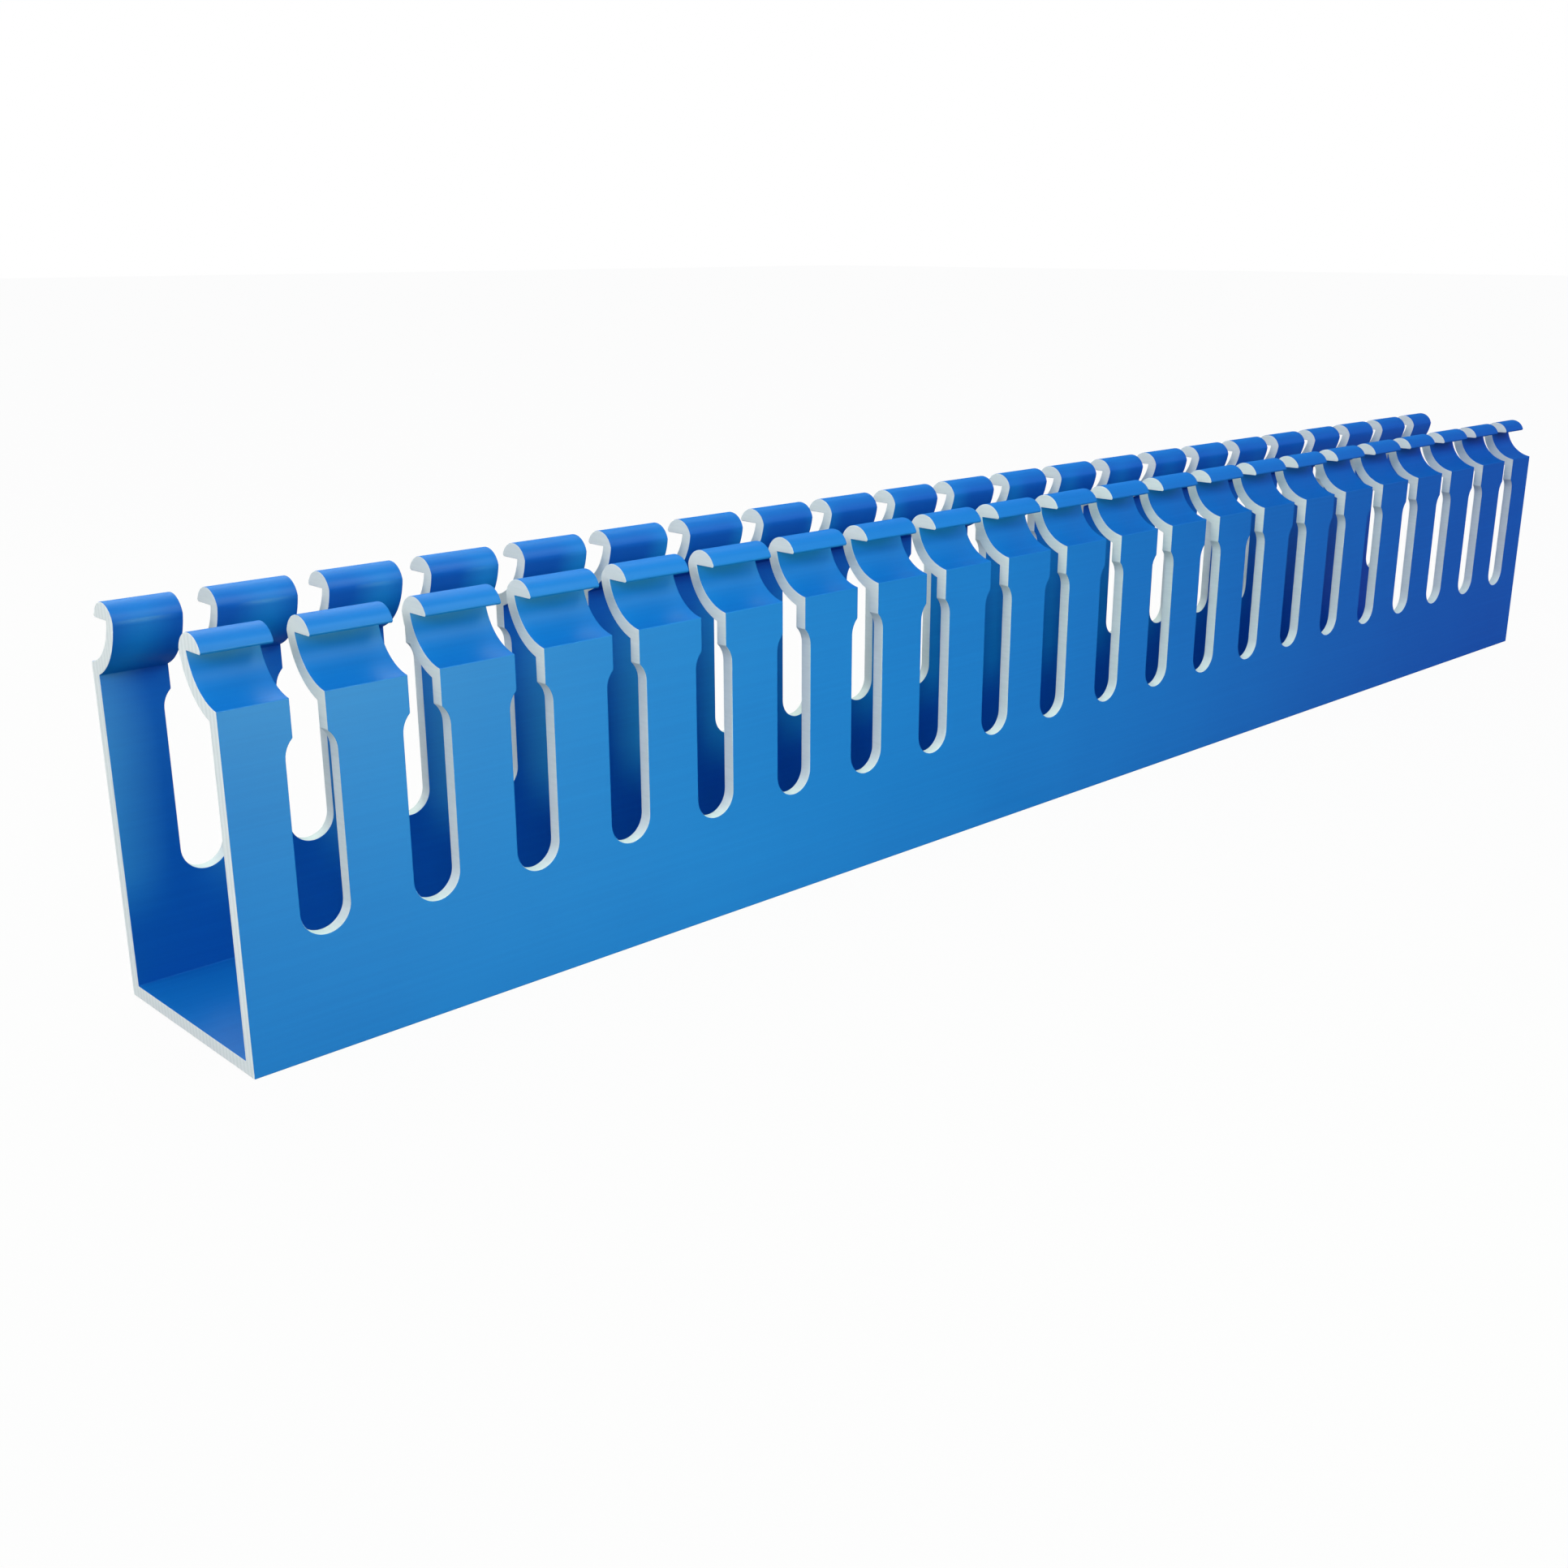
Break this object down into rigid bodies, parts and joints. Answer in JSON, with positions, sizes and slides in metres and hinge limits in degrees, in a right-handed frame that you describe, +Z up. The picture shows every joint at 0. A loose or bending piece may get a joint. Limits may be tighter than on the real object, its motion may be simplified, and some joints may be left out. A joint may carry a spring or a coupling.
{
  "type": "slotted wire duct",
  "caption": "Straight U-shaped plastic wiring duct with slots open at the top in both walls, and curled, hooked fingers that take a clip-on cover.",
  "frame": {"origin": "underside of the base, at the middle of the length and of the width", "axes": "+X along the duct, +Y across it, +Z up out of the open mouth"},
  "size_m": [0.3, 0.03, 0.048],
  "materials": {
    "duct_plastic": "satin blue extruded skin, pale grey cut and punched faces"
  },
  "bodies": {
    "root": {"duct_channel": "duct_plastic"}
  },
  "joints": []
}
